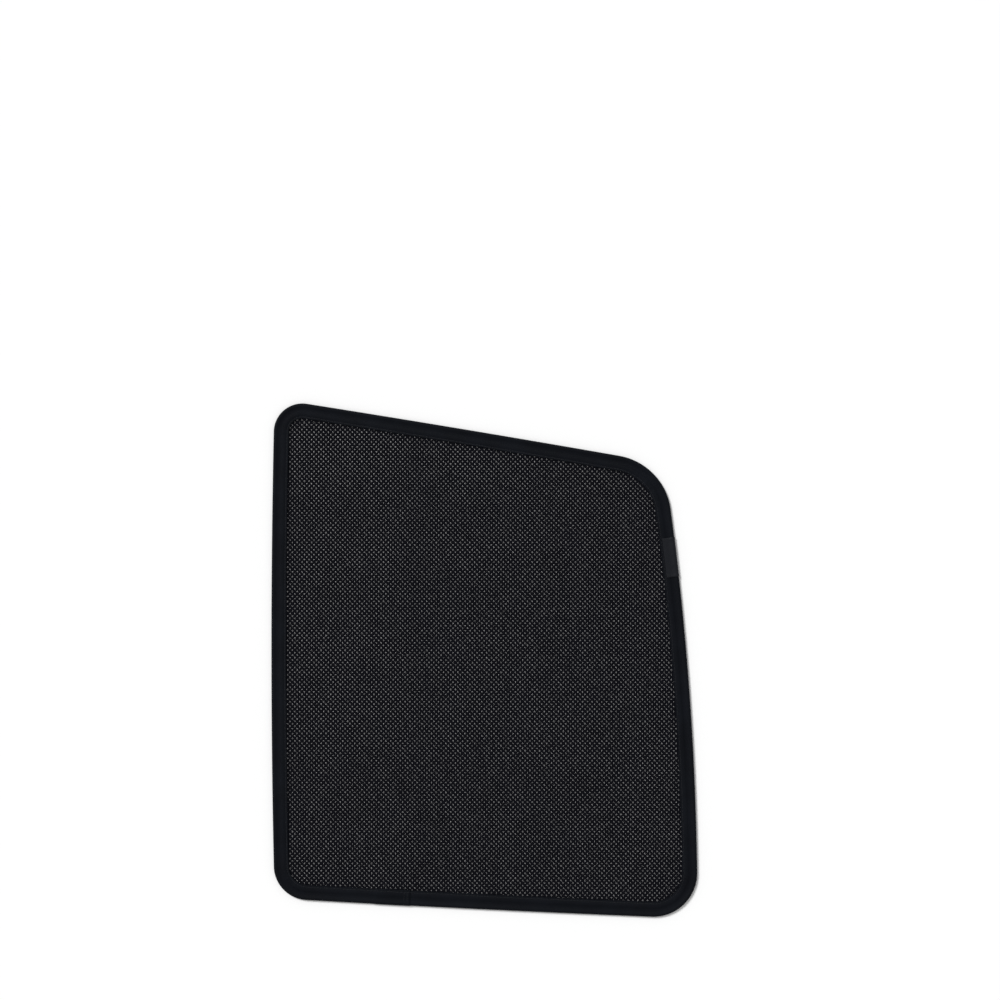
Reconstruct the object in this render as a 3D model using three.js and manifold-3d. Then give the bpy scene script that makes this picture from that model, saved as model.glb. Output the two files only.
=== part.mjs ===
// Car window sunshade: a knitted mesh panel held taut by a spring wire loop inside a folded edge binding.
// Millimetres. The shade lies flat: X and Y run in its plane and Z is up through its thickness.
import * as THREE from 'three';
import { mergeVertices } from 'three/addons/utils/BufferGeometryUtils.js';
import Module from 'manifold-3d';

const wasm = await Module();
wasm.setup();

// The four corners before rounding, measured from the bottom left one
const bottomSpan = 405.6;
const bottomDrop = 19.5;
const leftHeight = 479.1;
const topSpan = 373.7;
const rightHeight = 416.8;

// How far each side bows out between its corners
const bottomBow = 1;
const rightBow = 8.3;
const topBow = 1;
const leftBow = 3;

// Radii of the rounded corners
const bottomLeftRadius = 33;
const bottomRightRadius = 42;
const topRightRadius = 60;
const topLeftRadius = 27.5;

// Spring wire and the crimped sleeve that joins its two ends
const wireRadius = 1;
const wireEndGap = 1;
const ferruleLength = 24;
const ferruleWall = 0.35;
const ferruleClearance = 0.15;

// Binding: a tape folded round the wire, its two long edges turned under into a double hem
const bindingWidth = 14.5;
const tapeThickness = 0.4;
const hemWidth = 6;
const channelClearance = 0.2;

// Mesh panel: a thin wall with crossing ridges of yarn on its face, and gaps between them
const meshWall = 0.5;
const ridgeRise = 0.4;
const ridgeRoot = 0.2;
const ridgeHalfWidth = 4.5;
const meshClearance = 0.2;
const meshEdgeClearance = 1.4;
const gapAcross = 46;
const gapRowStep = 23.5;
const gapWidth = 19;
const gapHeight = 23;
const gapMargin = 3;

// Lockstitch seam that holds the hem to the mesh
const threadRadius = 0.2;
const threadClearance = 0.15;
const seamFromHemEdge = 1.7;
const seamGrooveWidth = 1;
const seamGrooveDepth = 0.25;

// Bare woven label, wrapped over the wire on the right side
const labelLength = 38;
const labelThickness = 0.35;
const labelClearance = 0.2;
const labelDrop = 46;

// How finely the round stretches are cut into flats
const sidePieces = 6;
const cornerPieces = 8;
const labelPieces = 3;
const threadSides = 6;
const wireSides = 8;
const ferruleSides = 12;
const gapSegments = 3;
const wholeArch = 6;
const upperArch = 3;
const weldDistance = 1e-3;
const sameHeading = 1e-6;

// Sizes that follow from those above
const ferruleInner = wireRadius + ferruleClearance;
const ferruleOuter = ferruleInner + ferruleWall;
const channelRadius = ferruleOuter + channelClearance;
const bulgeRadius = channelRadius + tapeThickness;
const wireInset = bulgeRadius;
const meshHalf = (meshWall + ridgeRise) / 2;
const meshWallTop = meshWall - meshHalf;
const flapInside = meshHalf + meshClearance;
const flapOutside = flapInside + tapeThickness;
const hemOutside = flapOutside + tapeThickness;
const hemStart = bindingWidth - hemWidth;
const valleyStart = wireInset + bulgeRadius + tapeThickness;
const meshEdge = wireInset + channelRadius + meshEdgeClearance;
const seamInset = bindingWidth - seamFromHemEdge;
const threadHeight = hemOutside - seamGrooveDepth + threadClearance + threadRadius;
const labelInside = seamInset - seamGrooveWidth;

const mesh = new THREE.MeshStandardMaterial({ color: '#15161a', roughness: 0.85, metalness: 0 });
const tape = new THREE.MeshStandardMaterial({ color: '#24272e', roughness: 0.7, metalness: 0 });
const thread = new THREE.MeshStandardMaterial({ color: '#1b1d22', roughness: 0.6, metalness: 0 });
const steel = new THREE.MeshStandardMaterial({ color: '#8d9094', roughness: 0.35, metalness: 1 });
const crimp = new THREE.MeshStandardMaterial({ color: '#b9bcc0', roughness: 0.4, metalness: 1 });
const satin = new THREE.MeshStandardMaterial({ color: '#1d2026', roughness: 0.45, metalness: 0 });

// The circle of a side that bows out from the straight line between two corners
function sideCircle(start, end, bow) {
  const chord = end.clone().sub(start);
  const half = chord.length() / 2;
  const radius = (half * half + bow * bow) / (2 * bow);
  const inward = new THREE.Vector2(-chord.y, chord.x).normalize();
  const middle = start.clone().add(end).multiplyScalar(0.5);
  return { centre: middle.clone().addScaledVector(inward, radius - bow), radius, middle };
}

// The centre of the arc that rounds a corner and touches the sides before and after it
function cornerCentre(before, after, corner) {
  const reachBefore = before.radius - corner.radius;
  const reachAfter = after.radius - corner.radius;
  const between = after.centre.clone().sub(before.centre);
  const distance = between.length();
  const along = (reachBefore ** 2 - reachAfter ** 2 + distance ** 2) / (2 * distance);
  const across = Math.sqrt(reachBefore ** 2 - along ** 2);
  const foot = before.centre.clone().addScaledVector(between, along / distance);
  const aside = new THREE.Vector2(-between.y, between.x).multiplyScalar(across / distance);
  const choices = [foot.clone().add(aside), foot.clone().sub(aside)];
  choices.sort((a, b) => a.distanceTo(corner.point) - b.distanceTo(corner.point));
  return choices[0];
}

// The direction from one point to another, in radians, wound on until it is no lower than the angle before it
function headingAfter(from, to, previous) {
  const heading = to.clone().sub(from).angle();
  const turns = Math.ceil((previous - heading) / (2 * Math.PI) - sameHeading);
  return heading + turns * 2 * Math.PI;
}

// The closed outline as arcs, anticlockwise from the middle of the bottom side
function outlineArcs() {
  const corners = [
    { point: new THREE.Vector2(0, 0), radius: bottomLeftRadius },
    { point: new THREE.Vector2(bottomSpan, -bottomDrop), radius: bottomRightRadius },
    { point: new THREE.Vector2(topSpan, rightHeight), radius: topRightRadius },
    { point: new THREE.Vector2(0, leftHeight), radius: topLeftRadius },
  ];
  const bows = [bottomBow, rightBow, topBow, leftBow];
  const sides = bows.map((bow, i) => sideCircle(corners[i].point, corners[(i + 1) % 4].point, bow));
  const centres = corners.map((corner, i) => cornerCentre(sides[(i + 3) % 4], sides[i], corner));
  const arcs = [];
  let heading = headingAfter(sides[0].centre, sides[0].middle, 0);
  const addArc = (centre, radius, towards, pieces) => {
    const to = headingAfter(centre, towards, heading);
    arcs.push({ centre, radius, from: heading, to, pieces });
    heading = to;
  };
  for (let i = 0; i < 4; i += 1) {
    const next = (i + 1) % 4;
    const pieces = i === 0 ? sidePieces / 2 : sidePieces;
    addArc(sides[i].centre, sides[i].radius, centres[next], pieces);
    const beyond = centres[next].clone().multiplyScalar(2).sub(sides[next].centre);
    addArc(centres[next], corners[next].radius, beyond, cornerPieces);
  }
  addArc(sides[0].centre, sides[0].radius, sides[0].middle, sidePieces / 2);
  return arcs;
}

const arcs = outlineArcs();
const bottomArc = arcs[0];
const rightArc = arcs[2];

// Stations along an arc: places where a section is set down, square to the outline
function arcStations(arc) {
  return Array.from({ length: arc.pieces }, (_, i) => ({
    centre: arc.centre,
    radius: arc.radius,
    angle: arc.from + ((arc.to - arc.from) * i) / arc.pieces,
  }));
}

function openStations(list) {
  const last = list[list.length - 1];
  return [...list.flatMap(arcStations), { centre: last.centre, radius: last.radius, angle: last.to }];
}

const loopStations = arcs.flatMap(arcStations);

// The point at a station that lies `inset` inside the outline
function insetPoint(station, inset) {
  const outward = new THREE.Vector2(Math.cos(station.angle), Math.sin(station.angle));
  return station.centre.clone().addScaledVector(outward, station.radius - inset);
}

function outlineShape(inset) {
  return new THREE.Shape(loopStations.map((station) => insetPoint(station, inset)));
}

// A solid with a section of [inset, height] points, anticlockwise, carried along the stations
function carrySection(section, stations, closed) {
  const positions = [];
  for (const station of stations) {
    for (const point of section) {
      const place = insetPoint(station, point.x);
      positions.push(place.x, place.y, point.y);
    }
  }
  const count = section.length;
  const index = [];
  const spans = closed ? stations.length : stations.length - 1;
  for (let j = 0; j < spans; j += 1) {
    const here = j * count;
    const there = ((j + 1) % stations.length) * count;
    for (let i = 0; i < count; i += 1) {
      const next = (i + 1) % count;
      index.push(here + i, here + next, there + next);
      index.push(here + i, there + next, there + i);
    }
  }
  if (!closed) {
    const lastRing = (stations.length - 1) * count;
    for (const [a, b, c] of THREE.ShapeUtils.triangulateShape(section, [])) {
      index.push(c, b, a);
      index.push(lastRing + a, lastRing + b, lastRing + c);
    }
  }
  const geometry = new THREE.BufferGeometry();
  geometry.setAttribute('position', new THREE.Float32BufferAttribute(positions, 3));
  geometry.setIndex(index);
  return geometry;
}

function roundSection(inset, height, radius, sides) {
  return Array.from({ length: sides }, (_, i) => {
    const angle = ((i + 0.5) * 2 * Math.PI) / sides;
    return new THREE.Vector2(inset + radius * Math.cos(angle), height + radius * Math.sin(angle));
  });
}

// Corners of the arch round the wire, from inside its top over the outer edge; its flats touch the radius
function archPoints(radius, count) {
  const flat = Math.PI / 4;
  const reach = radius / Math.cos(flat / 2);
  const first = Math.PI / 2 + flat / 2;
  return Array.from({ length: count }, (_, i) => {
    const angle = first - i * flat;
    return new THREE.Vector2(wireInset - reach * Math.cos(angle), reach * Math.sin(angle));
  });
}

function mirrored(points) {
  return points.map((point) => new THREE.Vector2(point.x, -point.y)).reverse();
}

function bindingSection() {
  const grooveHalf = seamGrooveWidth / 2;
  const grooveFloor = hemOutside - seamGrooveDepth;
  const upperOutside = [
    new THREE.Vector2(bindingWidth, hemOutside),
    new THREE.Vector2(seamInset + grooveHalf, hemOutside),
    new THREE.Vector2(seamInset + grooveHalf / 2, grooveFloor),
    new THREE.Vector2(seamInset - grooveHalf / 2, grooveFloor),
    new THREE.Vector2(seamInset - grooveHalf, hemOutside),
    new THREE.Vector2(hemStart, hemOutside),
    new THREE.Vector2(hemStart - tapeThickness, flapOutside),
    new THREE.Vector2(valleyStart, flapOutside),
  ];
  const lowerInside = [
    new THREE.Vector2(bindingWidth, -flapInside),
    new THREE.Vector2(meshEdge - meshEdgeClearance / 2, -flapInside),
  ];
  return [
    ...upperOutside,
    ...archPoints(bulgeRadius, wholeArch),
    ...mirrored(upperOutside),
    ...lowerInside,
    ...archPoints(channelRadius, wholeArch).reverse(),
    ...mirrored(lowerInside),
  ];
}

function labelSection() {
  const lower = [
    ...archPoints(bulgeRadius + labelClearance, upperArch).reverse(),
    new THREE.Vector2(hemStart, hemOutside + labelClearance),
    new THREE.Vector2(labelInside, hemOutside + labelClearance),
  ];
  const upperReach = labelClearance + labelThickness;
  const upper = [
    new THREE.Vector2(labelInside, hemOutside + upperReach),
    new THREE.Vector2(hemStart, hemOutside + upperReach),
    ...archPoints(bulgeRadius + upperReach, upperArch),
  ];
  return [...upper, ...lower];
}

// Only the position is kept, so that shared corners merge and the solid closes
function weld(geometry) {
  geometry.deleteAttribute('normal');
  geometry.deleteAttribute('uv');
  return mergeVertices(geometry, weldDistance);
}

function toSolid(geometry) {
  const welded = weld(geometry);
  return new wasm.Manifold(new wasm.Mesh({
    numProp: 3,
    vertProperties: new Float32Array(welded.attributes.position.array),
    triVerts: new Uint32Array(welded.index.array),
  }));
}

function toGeometry(solid) {
  const result = solid.getMesh();
  const geometry = new THREE.BufferGeometry();
  geometry.setAttribute('position', new THREE.BufferAttribute(result.vertProperties, 3));
  geometry.setIndex(new THREE.BufferAttribute(result.triVerts, 1));
  return geometry;
}

// A plate of the panel, up from its underside
function plate(shape, thickness) {
  const settings = { depth: thickness, bevelEnabled: false, curveSegments: gapSegments };
  return new THREE.ExtrudeGeometry(shape, settings).translate(0, 0, -meshHalf);
}

// Centres of the gaps that lie whole inside the binding, in rows shifted by half a step
function gapCentres(middle) {
  const limit = outlineShape(bindingWidth + gapMargin).getPoints();
  const rows = Math.ceil(leftHeight / gapRowStep / 2) + 1;
  const columns = Math.ceil(bottomSpan / gapAcross / 2) + 1;
  const centres = [];
  for (let row = -rows; row <= rows; row += 1) {
    const shift = row % 2 === 0 ? 0 : gapAcross / 2;
    for (let column = -columns; column <= columns; column += 1) {
      const centre = new THREE.Vector2(column * gapAcross + shift, row * gapRowStep).add(middle);
      const rim = gapShape(centre).getPoints(gapSegments);
      if (rim.every((point) => isInside(point, limit))) {
        centres.push(centre);
      }
    }
  }
  return centres;
}

function gapShape(centre) {
  const shape = new THREE.Shape();
  shape.absellipse(centre.x, centre.y, gapWidth / 2, gapHeight / 2, 0, 2 * Math.PI, false, 0);
  return shape;
}

// The outline is convex and runs anticlockwise, so a point inside it is to the left of every edge
function isInside(point, limit) {
  return limit.every((start, i) => {
    const end = limit[(i + 1) % limit.length];
    const edge = end.clone().sub(start);
    return edge.cross(point.clone().sub(start)) >= 0;
  });
}

// Ridges run both ways between the slanting rows of gaps
function ridges(middle) {
  const slant = Math.atan2(gapRowStep, gapAcross / 2);
  const spacing = (gapAcross * gapRowStep) / Math.hypot(gapAcross / 2, gapRowStep);
  const length = 2 * Math.hypot(bottomSpan, leftHeight);
  const count = Math.ceil(length / spacing / 2);
  const roof = new THREE.Shape([
    new THREE.Vector2(-ridgeHalfWidth, meshWallTop - ridgeRoot),
    new THREE.Vector2(ridgeHalfWidth, meshWallTop - ridgeRoot),
    new THREE.Vector2(0, meshHalf),
  ]);
  const bars = [];
  for (const angle of [slant, -slant]) {
    for (let i = -count; i < count; i += 1) {
      const bar = new THREE.ExtrudeGeometry(roof, { depth: length, bevelEnabled: false });
      bar.translate((i + 0.5) * spacing, 0, -length / 2).rotateX(Math.PI / 2);
      bar.rotateZ(angle - Math.PI / 2).translate(middle.x, middle.y, 0);
      bars.push(toSolid(bar));
    }
  }
  return wasm.Manifold.union(bars);
}

function meshPanelGeometry() {
  const panelShape = outlineShape(meshEdge);
  const box = new THREE.Box2().setFromPoints(panelShape.getPoints());
  const middle = box.getCenter(new THREE.Vector2());
  const wall = outlineShape(meshEdge);
  wall.holes = gapCentres(middle).map(gapShape);
  const ridgesInPanel = ridges(middle).intersect(toSolid(plate(panelShape, 2 * meshHalf)));
  return toGeometry(ridgesInPanel.add(toSolid(plate(wall, meshWall))));
}

function edgeBindingGeometry() {
  return carrySection(bindingSection(), loopStations, true);
}

function springWireGeometry() {
  const trim = wireEndGap / 2 / bottomArc.radius;
  const trimmed = arcs.map((arc) => ({ ...arc }));
  trimmed[0].from += trim;
  trimmed[trimmed.length - 1].to -= trim;
  return carrySection(roundSection(wireInset, 0, wireRadius, wireSides), openStations(trimmed), false);
}

function threadGeometry(side) {
  const section = roundSection(seamInset, side * threadHeight, threadRadius, threadSides);
  return carrySection(section, loopStations, true);
}

function wovenLabelGeometry() {
  const centre = rightArc.to - labelDrop / rightArc.radius;
  const half = labelLength / 2 / rightArc.radius;
  const stretch = { ...rightArc, from: centre - half, to: centre + half, pieces: labelPieces };
  return carrySection(labelSection(), openStations([stretch]), false);
}

function wireFerruleMesh() {
  const half = ferruleLength / 2;
  const profile = [
    new THREE.Vector2(ferruleOuter, -half),
    new THREE.Vector2(ferruleOuter, half),
    new THREE.Vector2(ferruleInner, half),
    new THREE.Vector2(ferruleInner, -half),
    new THREE.Vector2(ferruleOuter, -half),
  ];
  const ferrule = new THREE.Mesh(weld(new THREE.LatheGeometry(profile, ferruleSides)), crimp);
  const place = insetPoint({ ...bottomArc, angle: bottomArc.from }, wireInset);
  ferrule.position.set(place.x, place.y, 0);
  ferrule.rotation.z = bottomArc.from;
  return ferrule;
}

function named(name, piece) {
  piece.name = name;
  return piece;
}

const shade = new THREE.Group();
const binding = named('edge_binding', new THREE.Mesh(edgeBindingGeometry(), tape));
shade.add(
  named('mesh_panel', new THREE.Mesh(meshPanelGeometry(), mesh)),
  binding,
  named('spring_wire', new THREE.Mesh(springWireGeometry(), steel)),
  named('wire_ferrule', wireFerruleMesh()),
  named('needle_thread', new THREE.Mesh(threadGeometry(1), thread)),
  named('bobbin_thread', new THREE.Mesh(threadGeometry(-1), thread)),
  named('woven_label', new THREE.Mesh(wovenLabelGeometry(), satin)),
);

// The origin is under the middle of the binding, where the shade rests
const box = new THREE.Box3().setFromObject(binding);
const middle = box.getCenter(new THREE.Vector3());
shade.position.set(-middle.x, -middle.y, -box.min.z);

export default shade;
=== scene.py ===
"""Car window sunshade: a knitted mesh panel held taut by a spring wire in a folded edge binding.

Metres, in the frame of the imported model: X and Y run in the shade's plane, Z is up through it.
"""
import math

import bpy
import numpy as np
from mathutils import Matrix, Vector
from mathutils.geometry import tessellate_polygon


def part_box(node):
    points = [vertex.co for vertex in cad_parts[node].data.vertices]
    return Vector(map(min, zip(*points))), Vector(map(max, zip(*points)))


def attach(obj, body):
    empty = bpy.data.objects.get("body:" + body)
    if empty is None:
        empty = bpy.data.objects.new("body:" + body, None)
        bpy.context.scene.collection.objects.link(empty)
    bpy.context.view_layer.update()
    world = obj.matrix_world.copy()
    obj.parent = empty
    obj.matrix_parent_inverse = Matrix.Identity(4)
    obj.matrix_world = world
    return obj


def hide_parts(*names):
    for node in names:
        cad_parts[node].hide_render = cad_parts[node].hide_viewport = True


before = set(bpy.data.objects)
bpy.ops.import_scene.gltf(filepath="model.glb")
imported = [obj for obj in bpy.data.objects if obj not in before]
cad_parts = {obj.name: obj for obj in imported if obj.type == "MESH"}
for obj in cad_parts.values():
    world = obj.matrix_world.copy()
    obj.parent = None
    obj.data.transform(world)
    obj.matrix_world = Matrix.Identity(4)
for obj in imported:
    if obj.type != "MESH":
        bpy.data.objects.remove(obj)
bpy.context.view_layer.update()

MM = 0.001

# The photograph: its side in pixels, a pixel's real size, and the pixel that the origin lies on
PICTURE = 1000
PIXEL = 0.96 * MM
ORIGIN_ACROSS = 484.3
ORIGIN_DOWN = 660

# Outline: corners before rounding, from the bottom left one, how far the sides bow, and the corner radii
BOTTOM_SPAN = 405.6 * MM
BOTTOM_DROP = 19.5 * MM
LEFT_HEIGHT = 479.1 * MM
TOP_SPAN = 373.7 * MM
RIGHT_HEIGHT = 416.8 * MM
BOWS = [1 * MM, 8.3 * MM, 1 * MM, 3 * MM]
RADII = [33 * MM, 42 * MM, 60 * MM, 27.5 * MM]

# Binding, seam and label
BULGE_RADIUS = 2.1 * MM
TAPE_THICKNESS = 0.4 * MM
HEM_START = 8.5 * MM
SEAM_INSET = 12.8 * MM
STITCH_LENGTH = 3.2 * MM
THREAD_RADIUS = 0.19 * MM
SEAM_SURFACE = 1.22 * MM
SEAM_SINK = 0.34 * MM
SEAM_SWAY = 0.12 * MM
SEAM_POINTS = 6
LAP_LENGTH = 32 * MM
LAP_PLACE = -105 * MM
LABEL_LENGTH = 38 * MM
LABEL_DROP = 46 * MM
LABEL_INSIDE = 11.8 * MM
LABEL_RISE = 0.12 * MM
LABEL_THICKNESS = 0.35 * MM
LABEL_TURN = 0.12 * MM
LABEL_TURN_ENDS = (2.2 * MM, 2.8 * MM)
LABEL_PUCKER = 0.07 * MM
LABEL_STEPS = 48

# Short rows of stitches across the binding, through the tape's lap and through the label's ends
TACK_ROWS = [3 * MM, 6 * MM]
TACK_REACH = (4.2 * MM, 12.2 * MM)
LABEL_ROW_INSET = 1.4 * MM
LABEL_ROW_REACH = (3.4 * MM, 11.4 * MM)
ROW_STITCHES = 4
ROW_POINTS = 6
STITCH_SINK = 0.3 * MM
STITCH_RISE = 0.43 * MM

# How far the tape departs from its plain section
SEAM_PULL = 0.16 * MM
SEAM_PULL_REACH = 1.3 * MM
PLEAT_HEIGHT = 0.28 * MM
PLEAT_SHIFT = 0.22 * MM
PLEAT_LENGTH = 1.15 * MM
HEM_WANDER = 0.10 * MM
WIDTH_WANDER = 0.28 * MM
CORNER_EASE = 6 * MM

# Mesh: oval holes in rows, each row half a step aside from the one before, about 15 percent open in all
HOLE_ACROSS = 4.6 * MM
ROW_STEP = 2.35 * MM
HOLE_WIDTH = 1.365 * MM
HOLE_HEIGHT = 1.68 * MM
KNIT_RELIEF = 0.32 * MM
HOLE_SPREAD = 0.07
PANEL_CUT = 5.2 * MM
PANEL_EDGE = 7.5 * MM
PANEL_WAVE = 0.15 * MM

# The stage
FLOOR_DROP = 0.02 * MM
FLOOR_HALF = 3
FLOOR_GLOW = 0.02
SKY_STRENGTH = 0.44
SUN_STRENGTH = 2.35
SUN_ANGLE = math.radians(20)
SUN_TURN = (math.radians(-28), math.radians(-34), 0)
CAMERA_HEIGHT = 2.2
SENSOR_WIDTH = 36


def circle_of_side(start, end, bow):
    """Centre, radius and middle of a side that bows out from the straight line between two corners."""
    chord = end - start
    half = chord.length / 2
    radius = (half * half + bow * bow) / (2 * bow)
    inward = Vector((-chord.y, chord.x)).normalized()
    middle = (start + end) / 2
    return middle + inward * (radius - bow), radius, middle


def corner_centre(before, after, corner, radius):
    """Centre of the arc that rounds a corner and touches the sides before and after it."""
    reach_before = before[1] - radius
    reach_after = after[1] - radius
    between = after[0] - before[0]
    distance = between.length
    along = (reach_before**2 - reach_after**2 + distance**2) / (2 * distance)
    across = math.sqrt(reach_before**2 - along**2)
    foot = before[0] + between * (along / distance)
    aside = Vector((-between.y, between.x)) * (across / distance)
    return min(foot + aside, foot - aside, key=lambda p: (p - corner).length)


def heading_after(origin, target, previous):
    """The direction from origin to target, wound on until it is no lower than the one before."""
    way = target - origin
    heading = math.atan2(way.y, way.x)
    while heading < previous - 1e-6:
        heading += 2 * math.pi
    return heading


class Outline:
    """The closed outline as arcs, anticlockwise from the middle of the bottom side."""

    def __init__(self):
        corners = [
            Vector((0, 0)),
            Vector((BOTTOM_SPAN, -BOTTOM_DROP)),
            Vector((TOP_SPAN, RIGHT_HEIGHT)),
            Vector((0, LEFT_HEIGHT)),
        ]
        sides = [circle_of_side(corners[i], corners[(i + 1) % 4], BOWS[i]) for i in range(4)]
        centres = [corner_centre(sides[i - 1], sides[i], corners[i], RADII[i]) for i in range(4)]
        self.arcs = []
        heading = heading_after(sides[0][0], sides[0][2], -math.pi)
        for i in range(4):
            after = (i + 1) % 4
            heading = self.add(sides[i][0], sides[i][1], centres[after], heading)
            beyond = centres[after] * 2 - sides[after][0]
            heading = self.add(centres[after], RADII[after], beyond, heading)
        self.add(sides[0][0], sides[0][1], sides[0][2], heading)
        self.length = sum(arc["length"] for arc in self.arcs)
        rim = self.rim(0)
        drawn_low = Vector((min(p.x for p in rim), min(p.y for p in rim)))
        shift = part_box("edge_binding")[0].xy - drawn_low
        for arc in self.arcs:
            arc["centre"] = arc["centre"] + shift

    def add(self, centre, radius, target, heading):
        to = heading_after(centre, target, heading)
        arc = {"centre": centre, "radius": radius, "from": heading, "to": to}
        self.arcs.append({**arc, "length": radius * (to - heading)})
        return to

    def place(self, along):
        """(arc, angle) at a length along the outline."""
        along %= self.length
        for arc in self.arcs:
            if along <= arc["length"]:
                return arc, arc["from"] + along / arc["radius"]
            along -= arc["length"]
        return self.arcs[-1], self.arcs[-1]["to"]

    def at(self, along, inset):
        """The point at a length along the outline, moved in by inset."""
        arc, angle = self.place(along)
        outward = Vector((math.cos(angle), math.sin(angle)))
        return arc["centre"] + outward * (arc["radius"] - inset)

    def bend(self, along):
        """1 on a rounded corner, 0 on a side."""
        return 1.0 if self.place(along)[0]["radius"] <= max(RADII) else 0.0

    def rim(self, inset, count=400):
        """Points all round the outline, moved in by inset."""
        return [self.at(k * self.length / count, inset) for k in range(count)]

    def start_of(self, index):
        return sum(arc["length"] for arc in self.arcs[:index])


outline = Outline()
MIDDLE = sum(corner.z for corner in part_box("edge_binding")) / 2
STITCHES = round(outline.length / STITCH_LENGTH)
STITCH = outline.length / STITCHES


def new_object(name, vertices, faces, material, uvs):
    """A mesh object; uvs is one pair for each vertex, in metres along and across the cloth."""
    mesh = bpy.data.meshes.new(name)
    mesh.from_pydata([tuple(v) for v in vertices], [], faces)
    mesh.update()
    layer = mesh.uv_layers.new(name="cloth")
    corner = np.zeros(len(mesh.loops), np.int32)
    mesh.loops.foreach_get("vertex_index", corner)
    layer.data.foreach_set("uv", np.asarray(uvs, np.float32)[corner].ravel())
    mesh.polygons.foreach_set("use_smooth", [True] * len(mesh.polygons))
    mesh.materials.append(material)
    obj = bpy.data.objects.new(name, mesh)
    bpy.context.scene.collection.objects.link(obj)
    return obj


def rounded_noise(value, seed):
    """A smooth, repeatable wander between -1 and 1."""
    waves = ((1.0, 0.0), (1.7, 1.3), (2.9, 4.1), (0.43, 2.2))
    return sum(math.sin(value * rate + phase + seed) for rate, phase in waves) / len(waves)


class Nodes:
    """Short ways to build a material's node tree."""

    def __init__(self, name):
        self.material = bpy.data.materials.new(name)
        self.material.use_nodes = True
        self.tree = self.material.node_tree
        self.shader = self.tree.nodes["Principled BSDF"]

    def add(self, kind, **settings):
        node = self.tree.nodes.new(kind)
        for key, value in settings.items():
            setattr(node, key, value)
        return node

    def link(self, source, target):
        self.tree.links.new(source, target)

    def cloth_place(self, scale):
        """The cloth's own coordinates, in metres times scale."""
        place = self.add("ShaderNodeUVMap", uv_map="cloth")
        mapping = self.add("ShaderNodeMapping")
        mapping.inputs["Scale"].default_value = scale
        self.link(place.outputs["UV"], mapping.inputs["Vector"])
        return mapping.outputs["Vector"]

    def object_place(self):
        """The object's own coordinates, in metres."""
        return self.add("ShaderNodeTexCoord").outputs["Object"]

    def noise(self, vector, scale, detail=3.0, roughness=0.5):
        node = self.add("ShaderNodeTexNoise")
        node.inputs["Scale"].default_value = scale
        node.inputs["Detail"].default_value = detail
        node.inputs["Roughness"].default_value = roughness
        self.link(vector, node.inputs["Vector"])
        return node.outputs["Fac"]

    def wave(self, vector, scale, direction, distortion=0.0):
        node = self.add("ShaderNodeTexWave", bands_direction=direction)
        node.inputs["Scale"].default_value = scale
        node.inputs["Distortion"].default_value = distortion
        self.link(vector, node.inputs["Vector"])
        return node.outputs["Fac"]

    def maths(self, operation, first, second):
        node = self.add("ShaderNodeMath", operation=operation)
        for value, target in ((first, node.inputs[0]), (second, node.inputs[1])):
            if isinstance(value, (int, float)):
                target.default_value = value
            else:
                self.link(value, target)
        return node.outputs["Value"]

    def blend(self, first, share, second, other_share):
        """The sum of two values, each times its share."""
        first_part = self.maths("MULTIPLY", first, share)
        return self.maths("ADD", first_part, self.maths("MULTIPLY", second, other_share))

    def colour_between(self, factor, dark, light, low=0.3, high=0.7):
        node = self.add("ShaderNodeValToRGB")
        first, last = node.color_ramp.elements
        first.position, last.position = low, high
        first.color, last.color = (*dark, 1), (*light, 1)
        self.link(factor, node.inputs["Fac"])
        self.link(node.outputs["Color"], self.shader.inputs["Base Color"])

    def roughness_between(self, factor, low, high):
        node = self.add("ShaderNodeMapRange")
        node.inputs["To Min"].default_value = low
        node.inputs["To Max"].default_value = high
        self.link(factor, node.inputs["Value"])
        self.link(node.outputs["Result"], self.shader.inputs["Roughness"])

    def bump(self, height, distance, strength=1.0):
        node = self.add("ShaderNodeBump")
        node.inputs["Distance"].default_value = distance
        node.inputs["Strength"].default_value = strength
        self.link(height, node.inputs["Height"])
        self.link(node.outputs["Normal"], self.shader.inputs["Normal"])

    def set(self, **values):
        for key, value in values.items():
            self.shader.inputs[key.replace("_", " ")].default_value = value


def mesh_material():
    """Warp-knitted polyester: near-black yarn in strands along both diagonals, with a dull sheen."""
    m = Nodes("knit_polyester")
    place = m.cloth_place((1, 1, 1))
    rising = m.wave(place, scale=1100, direction="DIAGONAL", distortion=0.8)
    falling = m.wave(m.cloth_place((-1, 1, 1)), scale=1100, direction="DIAGONAL", distortion=0.8)
    strands = m.maths("MAXIMUM", rising, falling)
    fibres = m.noise(place, scale=3600)
    patches = m.noise(place, scale=38)
    shade = m.blend(patches, 0.5, strands, 0.5)
    m.colour_between(shade, dark=(0.0012, 0.0013, 0.0022), light=(0.0042, 0.0044, 0.0068))
    m.roughness_between(fibres, 0.66, 0.88)
    m.bump(m.blend(strands, 0.8, fibres, 0.3), distance=0.16 * MM, strength=0.9)
    m.set(Specular_IOR_Level=0.04, Sheen_Weight=0.02, Sheen_Roughness=0.45, Sheen_Tint=(0.75, 0.8, 1, 1))
    return m.material


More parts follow.
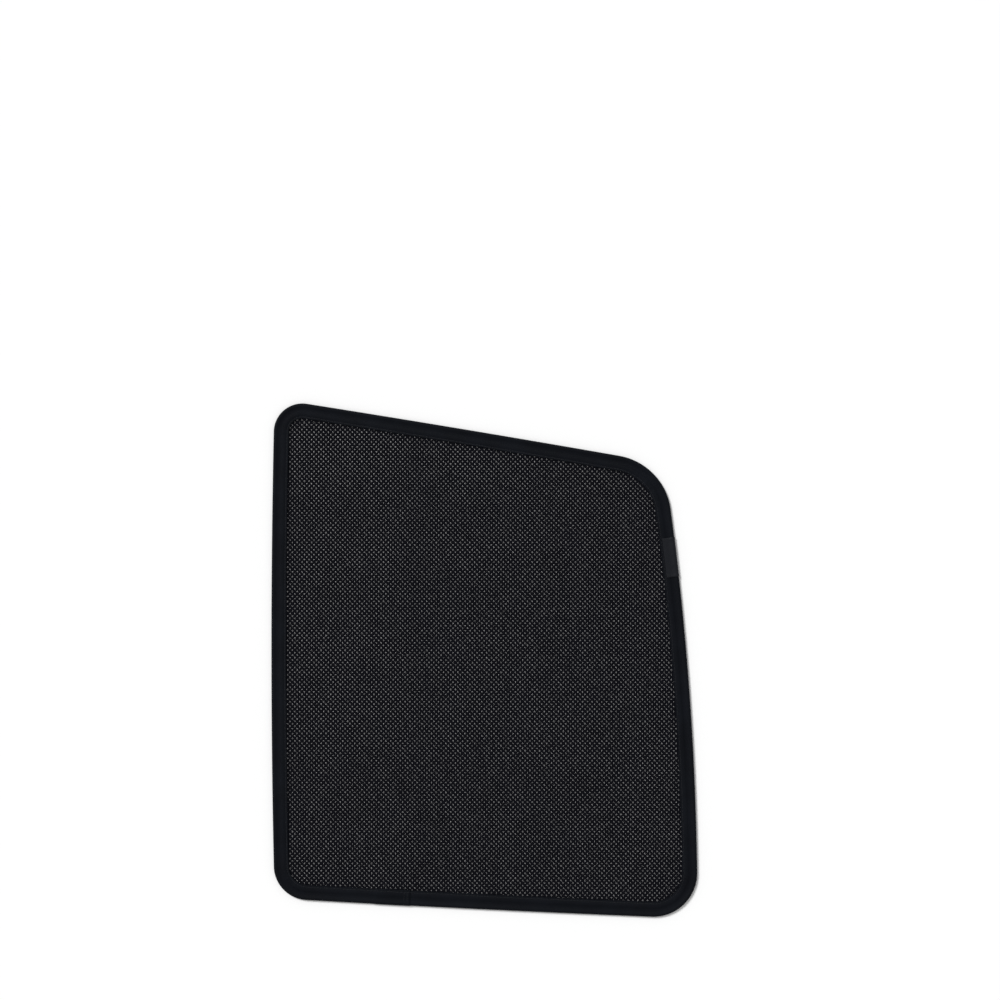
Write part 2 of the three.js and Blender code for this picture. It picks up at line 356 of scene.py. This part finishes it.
def tape_material():
    """Plain-woven polyester tape: very dark slate with a soft, slightly blue lustre."""
    m = Nodes("woven_tape")
    place = m.cloth_place((1, 1, 1))
    warp = m.wave(place, scale=700, direction="Y", distortion=0.6)
    weft = m.wave(place, scale=560, direction="X", distortion=0.6)
    weave = m.maths("MAXIMUM", warp, weft)
    fibres = m.noise(place, scale=3200)
    patches = m.noise(place, scale=30, detail=4)
    shade = m.blend(patches, 0.7, weave, 0.3)
    m.colour_between(shade, dark=(0.0016, 0.002, 0.0032), light=(0.0052, 0.0064, 0.0095), low=0.35, high=0.8)
    m.roughness_between(m.blend(fibres, 0.4, patches, 0.6), 0.4, 0.6)
    m.bump(m.blend(weave, 0.8, fibres, 0.3), distance=0.12 * MM, strength=0.8)
    m.set(Specular_IOR_Level=0.045, Sheen_Weight=0.03, Sheen_Roughness=0.35, Sheen_Tint=(0.7, 0.8, 1, 1))
    return m.material


def thread_material():
    """Twisted polyester sewing thread."""
    m = Nodes("sewing_thread")
    place = m.cloth_place((1, 1, 1))
    twist = m.wave(place, scale=900, direction="DIAGONAL", distortion=0.3)
    fibres = m.noise(place, scale=4000, detail=2)
    m.colour_between(twist, dark=(0.005, 0.0056, 0.008), light=(0.015, 0.0165, 0.022), low=0.2, high=0.8)
    m.roughness_between(fibres, 0.4, 0.6)
    m.bump(twist, distance=0.06 * MM, strength=0.7)
    m.set(Specular_IOR_Level=0.12, Sheen_Weight=0.06)
    return m.material


def label_material():
    """Satin-woven label: finer and smoother than the tape; its long floats are painted lighter in the base
    colour, a painted sheen where the satin catches the light.
    """
    m = Nodes("label_satin")
    place = m.cloth_place((1, 1, 1))
    floats = m.wave(place, scale=1500, direction="X", distortion=0.4)
    ribs = m.wave(place, scale=420, direction="Y", distortion=0.2)
    fibres = m.noise(m.cloth_place((6, 1, 1)), scale=900)
    # Lighter along the floats is a painted sheen; the fibre noise is the yarn's own uneven tone.
    shade = m.blend(floats, 0.5, fibres, 0.5)
    m.colour_between(shade, dark=(0.0028, 0.0033, 0.005), light=(0.009, 0.0102, 0.014))
    m.roughness_between(fibres, 0.3, 0.46)
    m.bump(m.blend(floats, 0.4, ribs, 0.5), distance=0.05 * MM, strength=0.6)
    m.set(Specular_IOR_Level=0.1, Sheen_Weight=0.03)
    return m.material


def metal_material(name, colour, roughness):
    """Drawn or crimped metal with fine marks."""
    m = Nodes(name)
    marks = m.noise(m.object_place(), scale=900, detail=4)
    m.colour_between(marks, tuple(0.8 * c for c in colour), colour)
    m.roughness_between(marks, roughness, roughness + 0.15)
    m.bump(marks, distance=0.02 * MM, strength=0.4)
    m.set(Metallic=1.0)
    return m.material


MATERIALS = {
    "mesh": mesh_material(),
    "tape": tape_material(),
    "thread": thread_material(),
    "label": label_material(),
    "steel": metal_material("spring_steel", (0.45, 0.45, 0.46), 0.28),
    "crimp": metal_material("crimp_sleeve", (0.62, 0.63, 0.65), 0.35),
}

# Upper outside of the folded tape, in millimetres: distance in from the edge, height above the middle
ARCH_STEP = math.radians(18)
ARCH_POINTS = 7
UPPER_FLAP = [
    (4.1, 1.34), (5.0, 1.10), (6.4, 1.03), (7.9, 1.06), (8.4, 1.27), (8.9, 1.45), (10.4, 1.48),
    (11.9, 1.44), (12.4, 1.30), (12.8, 1.22), (13.2, 1.30), (13.7, 1.43), (14.2, 1.36),
]
HEM_FOLD = [(14.5, 1.12), (14.5, 0.86), (14.3, 0.66)]

# Inside of the hem's fold, as above, then insets of the turned-under layer's two faces and of the tape's
# inside, all in millimetres, and angles in degrees inside the arch
FOLD_INSIDE = [(14.22, 0.65), (14.12, 0.64), (14.02, 0.62)]
TURNED_UNDER = [13.9, 12.8, 11.6, 9.0]
TURNED_BACK = [9.0, 11.6, 12.8, 13.9]
HEM_INSIDE = [13.9, 12.8, 11.6, 8.9]
FLAP_INSIDE = [8.2, 6.4, 4.6]
ARCH_INSIDE = [130, 90, 50]
LAYER_GAP = 0.02 * MM

# How deep a section point lies in the folded layers: 0 on the outside, 1 on the innermost face
TURNED_BACK_DEPTH = 0.53
HEM_INSIDE_DEPTH = 0.5

# The lapped end: how far its outside stands off what it covers, the clearance under it and its slope's length
LAP_LIFT = 0.36 * MM
LAP_CLEARANCE = 0.06 * MM
LAP_RISE = 5 * MM


def upper_profile():
    """The upper outside of the tape, from its outer edge over the wire to the hem's fold."""
    arch = []
    for i in range(ARCH_POINTS):
        angle = i * ARCH_STEP
        arch.append((BULGE_RADIUS - BULGE_RADIUS * math.cos(angle), BULGE_RADIUS * math.sin(angle)))
    return arch + [(d * MM, h * MM) for d, h in UPPER_FLAP]


def tape_section():
    """The folded tape's closed section, each point as it lies and as it lies on the lap."""
    outside = upper_profile() + [(d * MM, h * MM) for d, h in HEM_FOLD]
    flap = upper_profile()[ARCH_POINTS:]
    insets, heights = [d for d, h in flap], [h for d, h in flap]
    normals = profile_normals(outside)
    upper = [(p, p, n, 0.0) for p, n in zip(outside, normals)]

    def under(inset, layers, gap, depth):
        top = float(np.interp(inset * MM, insets, heights))
        place = (inset * MM, top - layers * TAPE_THICKNESS - gap)
        upper.append((place, (inset * MM, top), (0.0, 1.0), depth))

    folds = list(zip(outside, normals))[-len(HEM_FOLD):]
    for (d, h), (mate, way) in zip(FOLD_INSIDE, folds[::-1]):
        upper.append(((d * MM, h * MM), mate, way, 1.0))
    for inset in TURNED_UNDER:
        under(inset, 2, 0, 1.0)
    for inset in TURNED_BACK:
        under(inset, 1, LAYER_GAP, TURNED_BACK_DEPTH)
    for inset in HEM_INSIDE:
        under(inset, 1, 0, HEM_INSIDE_DEPTH)
    for inset in FLAP_INSIDE:
        under(inset, 1, 0, 1.0)
    for degrees in ARCH_INSIDE + [0]:
        way = (-math.cos(math.radians(degrees)), math.sin(math.radians(degrees)))
        inner = BULGE_RADIUS - TAPE_THICKNESS
        place = (BULGE_RADIUS + way[0] * inner, way[1] * inner)
        mate = (BULGE_RADIUS + way[0] * BULGE_RADIUS, way[1] * BULGE_RADIUS)
        upper.append((place, mate, way, 1.0))

    def mirrored(point):
        place, mate, way, depth = point
        return (place[0], -place[1]), (mate[0], -mate[1]), (way[0], -way[1]), depth

    count = len(outside)
    lower = [mirrored(point) for point in upper]
    return upper[:count][::-1] + lower[1:count] + lower[count:] + upper[count:-1][::-1]


def section_point(point, over):
    """A section point's inset and height, over going from 0 off the lap to 1 on it."""
    place, mate, way, depth = point
    lift = LAP_LIFT - depth * (LAP_LIFT - LAP_CLEARANCE)
    lapped = (mate[0] + way[0] * lift, mate[1] + way[1] * lift)
    return place[0] + (lapped[0] - place[0]) * over, place[1] + (lapped[1] - place[1]) * over


def profile_normals(profile):
    """The unit normal at each point of a profile, to its left."""
    normals = []
    for i in range(len(profile)):
        before = profile[max(i - 1, 0)]
        after = profile[min(i + 1, len(profile) - 1)]
        d, h = after[0] - before[0], after[1] - before[1]
        size = math.hypot(d, h)
        normals.append((-h / size, d / size))
    return normals


def ramp(value, start, end):
    """A smooth step from 0 at start to 1 at end."""
    t = min(max((value - start) / (end - start), 0), 1)
    return t * t * (3 - 2 * t)


def hem_shape(along, inset, height):
    """Small changes to the plain section: stitch pull, corner pleats and a slight wander."""
    side = 1 if height > 0 else -1
    on_hem = ramp(inset, HEM_START - 2 * MM, HEM_START + MM)
    near_seam = math.exp(-(((inset - SEAM_INSET) / SEAM_PULL_REACH) ** 2))
    stitch = 0.5 + 0.5 * math.cos(2 * math.pi * along / STITCH)
    height -= side * SEAM_PULL * near_seam * stitch
    bend = corner_weight(along)
    pleats = rounded_noise(along / PLEAT_LENGTH, 2.0 * side)
    height += side * PLEAT_HEIGHT * bend * on_hem * (0.4 + pleats)
    height += side * HEM_WANDER * on_hem * rounded_noise(along / (9 * MM), 5.0 + side)
    past_bulge = ramp(inset, 3 * MM, 6 * MM)
    inset += past_bulge * WIDTH_WANDER * rounded_noise(along / (23 * MM), side)
    inset += past_bulge * bend * PLEAT_SHIFT * pleats
    return inset, height


def corner_weight(along):
    """How much a place is on a rounded corner, with soft ends."""
    return sum(outline.bend(along + shift) for shift in (-CORNER_EASE, 0, CORNER_EASE)) / 3


def lengths_along(points):
    """The length along a chain of points, at each of them."""
    return np.concatenate([[0], np.cumsum([math.dist(a, b) for a, b in zip(points, points[1:])])])


def cap_faces(section, base, forward):
    """Triangles that close one end of the sweep."""
    flat = [Vector((d, h, 0)) for d, h in section]

    def turn(a, b, c):
        return (b - a).cross(c - a).z

    ring_turn = sum(a.x * b.y - b.x * a.y for a, b in zip(flat, flat[1:] + flat[:1]))
    faces = []
    for face in tessellate_polygon([flat]):
        a, b, c = face
        along_ring = turn(flat[a], flat[b], flat[c]) * ring_turn > 0
        if along_ring != forward:
            b, c = c, b
        faces.append((base + a, base + b, base + c))
    return faces


def lowest(along, over, inside):
    """How low a point of the tape may lie: the lap's end is on the floor, and the tape's start on it."""
    covered = 1 - ramp(along - LAP_PLACE, LAP_LENGTH, LAP_LENGTH + LAP_RISE)
    if inside:
        return covered * (LAP_LIFT + TAPE_THICKNESS) + over * (LAP_LIFT - LAP_CLEARANCE)
    return covered * LAP_LIFT


def binding():
    """The tape as one folded strip round the wire, its end lapped over its start on the bottom side."""
    section = tape_section()
    ring = len(section)
    plain = [section_point(point, 0) for point in section]
    across = lengths_along(plain)
    step = STITCH / 2
    steps = round((outline.length + LAP_LENGTH) / step)
    lap_start = LAP_PLACE + outline.length
    vertices, uvs, faces = [], [], []
    for j in range(steps + 1):
        along = LAP_PLACE + j * step
        over = ramp(along, lap_start - LAP_RISE, lap_start)
        for k, point in enumerate(section):
            d, h = hem_shape(along, *section_point(point, over))
            place = outline.at(along, d)
            vertices.append((place.x, place.y, max(MIDDLE + h, lowest(along, over, point[3] > 0))))
            uvs.append((along, across[k]))
    for j in range(steps):
        here, there = j * ring, (j + 1) * ring
        for k in range(ring):
            after = (k + 1) % ring
            faces.append((here + k, here + after, there + after, there + k))
    faces += cap_faces(plain, 0, False)
    faces += cap_faces([section_point(point, 1) for point in section], steps * ring, True)
    obj = new_object("binding_tape", vertices, faces, MATERIALS["tape"], uvs)
    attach(obj, "root")
    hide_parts("edge_binding")


def thread_along(points, sides=6):
    """A thin closed tube through points, with the thread's own length as its cloth coordinate."""
    vertices, uvs, faces = [], [], []
    length = 0.0
    for j, point in enumerate(points):
        before = points[max(j - 1, 0)]
        after = points[min(j + 1, len(points) - 1)]
        forward = (after - before).normalized()
        side = forward.cross(Vector((0, 0, 1)))
        side = side.normalized() if side.length > 1e-6 else Vector((1, 0, 0))
        up = side.cross(forward).normalized()
        if j:
            length += (point - points[j - 1]).length
        for i in range(sides):
            angle = 2 * math.pi * i / sides
            out = side * math.cos(angle) + up * math.sin(angle)
            vertices.append(point + out * THREAD_RADIUS)
            uvs.append((length, angle * THREAD_RADIUS))
    for j in range(len(points) - 1):
        here, there = j * sides, (j + 1) * sides
        for i in range(sides):
            after = (i + 1) % sides
            faces.append((here + i, there + i, there + after, here + after))
    faces.append(tuple(range(sides)))
    last = (len(points) - 1) * sides
    faces.append(tuple(range(last + sides - 1, last - 1, -1)))
    return vertices, uvs, faces


def thread_object(name, parts, node=None):
    """One piece of thread from several tubes; node is the solid that it replaces."""
    vertices, uvs, faces = [], [], []
    for more_vertices, more_uvs, more_faces in parts:
        base = len(vertices)
        vertices += more_vertices
        uvs += more_uvs
        faces += [tuple(base + i for i in face) for face in more_faces]
    obj = new_object(name, vertices, faces, MATERIALS["thread"], uvs)
    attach(obj, "root")
    if node:
        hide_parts(node)


def lap_lift(along):
    """How much the tape's lapped end raises what lies on it."""
    past = (along - LAP_PLACE) % outline.length
    inside = ramp(past, -MM, 0) * (1 - ramp(past, LAP_LENGTH, LAP_LENGTH + MM))
    coming = ramp(past, outline.length - LAP_RISE, outline.length)
    return LAP_LIFT * max(inside, coming)


def seam(name, side, node):
    """One row of lockstitches; each stitch rises from its needle hole and goes back down."""
    points = []
    for j in range(STITCHES * SEAM_POINTS + 1):
        along = j * STITCH / SEAM_POINTS
        phase = (j % SEAM_POINTS) / SEAM_POINTS
        rise = math.sin(math.pi * phase) ** 0.5
        height = SEAM_SURFACE - SEAM_SINK + rise * (SEAM_SINK + 0.8 * THREAD_RADIUS) + lap_lift(along)
        wander = SEAM_SWAY * rounded_noise(along / (7 * MM), side)
        slant = SEAM_SWAY * (phase - 0.5)
        place = outline.at(along, SEAM_INSET + wander + slant)
        points.append(Vector((place.x, place.y, MIDDLE + side * height)))
    thread_object(name, [thread_along(points)], node)


def stitch_row(along, reach, side, surface):
    """A row of stitches across the binding; surface gives the cloth's height above the middle at an inset."""
    first, last = reach
    parts = []
    highest = MIDDLE - THREAD_RADIUS if side < 0 else math.inf
    for i in range(ROW_STITCHES):
        points = []
        for k in range(ROW_POINTS + 1):
            share = k / ROW_POINTS
            inset = first + (last - first) * (i + 0.1 + 0.8 * share) / ROW_STITCHES
            rise = math.sin(math.pi * share) ** 0.5
            height = min(surface(inset) - STITCH_SINK + rise * STITCH_RISE, highest)
            place = outline.at(along, inset)
            points.append(Vector((place.x, place.y, MIDDLE + side * height)))
        parts.append(thread_along(points))
    return parts


def tape_surface(lift):
    """The height of the tape's outside above the middle, as a function of inset."""
    flap = [p for p in upper_profile() if p[0] > 1.2 * MM]
    return lambda inset: float(np.interp(inset, [d for d, h in flap], [h for d, h in flap])) + lift


def lap_tack():
    """Two short rows of stitches through the lapped end of the tape, seen on both faces."""
    parts = []
    for row in TACK_ROWS:
        for side in (1, -1):
            parts += stitch_row(LAP_PLACE + LAP_LENGTH - row, TACK_REACH, side, tape_surface(LAP_LIFT))
    thread_object("lap_stitches", parts)


def label_centre():
    """Length along the outline at the label's middle, on the right side below its upper end."""
    return outline.start_of(3) - LABEL_DROP


def label_path():
    """Points across the label, from the outside of the bulge to its inner edge, as (inset, height)."""
    arch = []
    for angle in np.radians(np.arange(24, 112, 11)):
        arch.append((BULGE_RADIUS - BULGE_RADIUS * math.cos(angle), BULGE_RADIUS * math.sin(angle)))
    flap = [(4.2, 1.72), (5.6, 1.50), (7.0, 1.46), (8.6, 1.48), (10.2, 1.50), (11.2, 1.47)]
    return arch + [(d * MM, h * MM) for d, h in flap] + [(LABEL_INSIDE, 1.45 * MM)]


def label():
    """A bare satin label laid over the bulge on the binding's front, a little puckered by its stitches."""
    path = label_path()
    normals = profile_normals(path)
    count = len(path)
    across = lengths_along(path)
    vertices, uvs, faces = [], [], []
    for j in range(LABEL_STEPS + 1):
        share = j / LABEL_STEPS
        along = label_centre() + LABEL_LENGTH * (share - 0.5)
        edge = min(share, 1 - share) * LABEL_LENGTH
        turned = LABEL_TURN * (1 - ramp(edge, *LABEL_TURN_ENDS))
        top, bottom = [], []
        for k, (d, h) in enumerate(path):
            nd, nh = normals[k]
            pucker = LABEL_PUCKER * rounded_noise(along / (2.2 * MM) + d / (3 * MM), 1.0)
            lift = LABEL_RISE + LABEL_THICKNESS + turned + pucker
            top.append((d + nd * lift, h + nh * lift))
            bottom.append((d + nd * LABEL_RISE, h + nh * LABEL_RISE))
        for k, (d, h) in enumerate(top + bottom[::-1]):
            place = outline.at(along, d)
            vertices.append((place.x, place.y, MIDDLE + h))
            width = across[k] if k < count else across[2 * count - 1 - k]
            uvs.append((along, width))
    ring = 2 * count
    for j in range(LABEL_STEPS):
        here, there = j * ring, (j + 1) * ring
        for k in range(ring):
            after = (k + 1) % ring
            faces.append((here + k, there + k, there + after, here + after))
    last = LABEL_STEPS * ring
    for k in range(count - 1):
        mate, mate_after = ring - 1 - k, ring - 2 - k
        faces.append((k, k + 1, mate_after, mate))
        faces.append((last + k + 1, last + k, last + mate, last + mate_after))
    obj = new_object("bare_label", vertices, faces, MATERIALS["label"], uvs)
    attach(obj, "root")
    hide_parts("woven_label")


def label_stitches():
    """A row of stitches through each end of the label, seen on the label and on the tape behind it."""
    path = label_path()
    stand_off = LABEL_RISE + LABEL_THICKNESS + LABEL_TURN

    def label_surface(inset):
        return float(np.interp(inset, [d for d, h in path], [h for d, h in path])) + stand_off

    parts = []
    for end in (-1, 1):
        along = label_centre() + end * (LABEL_LENGTH / 2 - LABEL_ROW_INSET)
        parts += stitch_row(along, LABEL_ROW_REACH, 1, label_surface)
        parts += stitch_row(along, LABEL_ROW_REACH, -1, tape_surface(0))
    thread_object("label_stitches", parts)


def inside_test(inset):
    """A test of whether points lie inside the outline, moved in by inset; the outline is convex."""
    rim = np.array(outline.rim(inset, 240))
    edge = np.roll(rim, -1, 0) - rim

    def inside(points):
        ok = np.ones(len(points), bool)
        for start, way in zip(rim, edge):
            offset = points - start
            ok &= way[0] * offset[:, 1] - way[1] * offset[:, 0] >= 0
        return ok

    return inside


def mesh_panel():
    """The knit at its real pitch: an oval hole in each diamond of yarn, and a crest of yarn round it."""
    low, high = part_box("mesh_panel")
    middle = (low + high) / 2
    rows = int((high.y - low.y) / ROW_STEP / 2) + 2
    columns = int((high.x - low.x) / HOLE_ACROSS / 2) + 2
    centres = []
    for row in range(-rows, rows + 1):
        shift = 0.5 * (row % 2)
        for column in range(-columns, columns + 1):
            centres.append((2 * column + row % 2, row, (column + shift) * HOLE_ACROSS, row * ROW_STEP))
    centres = np.array(centres)
    points = centres[:, 2:] + np.array([middle.x, middle.y])
    centres = centres[inside_test(PANEL_EDGE)(points)]
    corner_index, vertices, uvs, faces = {}, [], [], []
    wobble = np.random.default_rng(7)

    def surface_height(x, y):
        return PANEL_WAVE * (rounded_noise(x / (31 * MM), 0.4) + rounded_noise(y / (37 * MM), 1.9))

    def crossing(i, row):
        key = (i, row)
        if key not in corner_index:
            x = middle.x + i * HOLE_ACROSS / 2
            y = middle.y + row * ROW_STEP
            corner_index[key] = len(vertices)
            vertices.append((x, y, MIDDLE + surface_height(x, y) + KNIT_RELIEF / 2))
            uvs.append((x, y))
        return corner_index[key]

    for i, row, x, y in centres:
        i, row = int(i), int(row)
        around = [crossing(i + 1, row), crossing(i, row + 1), crossing(i - 1, row), crossing(i, row - 1)]
        size = 1 + HOLE_SPREAD * wobble.uniform(-1, 1)
        x, y = middle.x + x, middle.y + y
        base = len(vertices)
        level = MIDDLE + surface_height(x, y) - KNIT_RELIEF / 2
        for k in range(8):
            angle = k * math.pi / 4
            px = x + HOLE_WIDTH / 2 * size * math.cos(angle)
            py = y + HOLE_HEIGHT / 2 * size * math.sin(angle)
            vertices.append((px, py, level))
            uvs.append((px, py))
        for k in range(4):
            a, b = around[k], around[(k + 1) % 4]
            h0, h1, h2 = base + 2 * k, base + 2 * k + 1, base + (2 * k + 2) % 8
            faces += [(a, h1, h0), (a, b, h1), (b, h2, h1)]
    obj = new_object("knit_mesh", vertices, faces, MATERIALS["mesh"], uvs)
    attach(obj, "root")
    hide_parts("mesh_panel")
    size = high - low
    cut_area = outline_area(PANEL_CUT)


def outline_area(inset):
    """The area within the outline, moved in by inset."""
    rim = outline.rim(inset)
    return sum(a.x * b.y - b.x * a.y for a, b in zip(rim, rim[1:] + rim[:1])) / 2


def backdrop_rays(tree):
    """1 for the camera's rays, reflections and refractions, which see the plain white background, else 0."""
    path = tree.nodes.new("ShaderNodeLightPath")
    seen = path.outputs["Is Camera Ray"]
    for name in ("Is Glossy Ray", "Is Transmission Ray"):
        either = tree.nodes.new("ShaderNodeMath")
        either.operation = "MAXIMUM"
        tree.links.new(seen, either.inputs[0])
        tree.links.new(path.outputs[name], either.inputs[1])
        seen = either.outputs["Value"]
    return seen


def stage():
    """A pale floor, soft light from all round and one broad lamp from the upper left."""
    mesh = bpy.data.meshes.new("floor")
    corners = [(x * FLOOR_HALF, y * FLOOR_HALF, -FLOOR_DROP) for x, y in ((-1, -1), (1, -1), (1, 1), (-1, 1))]
    mesh.from_pydata(corners, [], [(0, 1, 2, 3)])
    floor = bpy.data.objects.new("floor", mesh)
    bpy.context.scene.collection.objects.link(floor)
    paper = Nodes("floor_paper")
    paper.set(Base_Color=(1, 1, 1, 1), Roughness=0.9, Specular_IOR_Level=0.0, Emission_Color=(1, 1, 1, 1))
    glow = paper.maths("MULTIPLY", backdrop_rays(paper.tree), FLOOR_GLOW)
    paper.link(glow, paper.shader.inputs["Emission Strength"])
    mesh.materials.append(paper.material)
    world = bpy.data.worlds.new("studio")
    world.use_nodes = True
    tree = world.node_tree
    sky = tree.nodes["Background"]
    sky.inputs["Color"].default_value = (1, 1, 1, 1)
    sky.inputs["Strength"].default_value = SKY_STRENGTH
    seen = tree.nodes.new("ShaderNodeBackground")
    seen.inputs["Color"].default_value = (1, 1, 1, 1)
    blend = tree.nodes.new("ShaderNodeMixShader")
    tree.links.new(backdrop_rays(tree), blend.inputs["Fac"])
    tree.links.new(sky.outputs["Background"], blend.inputs[1])
    tree.links.new(seen.outputs["Background"], blend.inputs[2])
    tree.links.new(blend.outputs["Shader"], tree.nodes["World Output"].inputs["Surface"])
    bpy.context.scene.world = world
    lamp = bpy.data.lights.new("key", "SUN")
    lamp.energy = SUN_STRENGTH
    lamp.angle = SUN_ANGLE
    key = bpy.data.objects.new("key", lamp)
    key.rotation_euler = SUN_TURN
    bpy.context.scene.collection.objects.link(key)


def camera():
    """Straight down, with the shade where the photograph has it."""
    data = bpy.data.cameras.new("camera")
    data.sensor_width = SENSOR_WIDTH
    data.lens = SENSOR_WIDTH * CAMERA_HEIGHT / (PICTURE * PIXEL)
    eye = bpy.data.objects.new("camera", data)
    across, up = PICTURE / 2 - ORIGIN_ACROSS, ORIGIN_DOWN - PICTURE / 2
    eye.location = (across * PIXEL, up * PIXEL, CAMERA_HEIGHT)
    bpy.context.scene.collection.objects.link(eye)
    bpy.context.scene.camera = eye


camera()
stage()
mesh_panel()
binding()
seam("needle_stitches", 1, "needle_thread")
seam("bobbin_stitches", -1, "bobbin_thread")
lap_tack()
label()
label_stitches()
for node, material in (("spring_wire", "steel"), ("wire_ferrule", "crimp")):
    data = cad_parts[node].data
    data.materials.clear()
    data.materials.append(MATERIALS[material])

bpy.context.scene.view_settings.view_transform = "Standard"
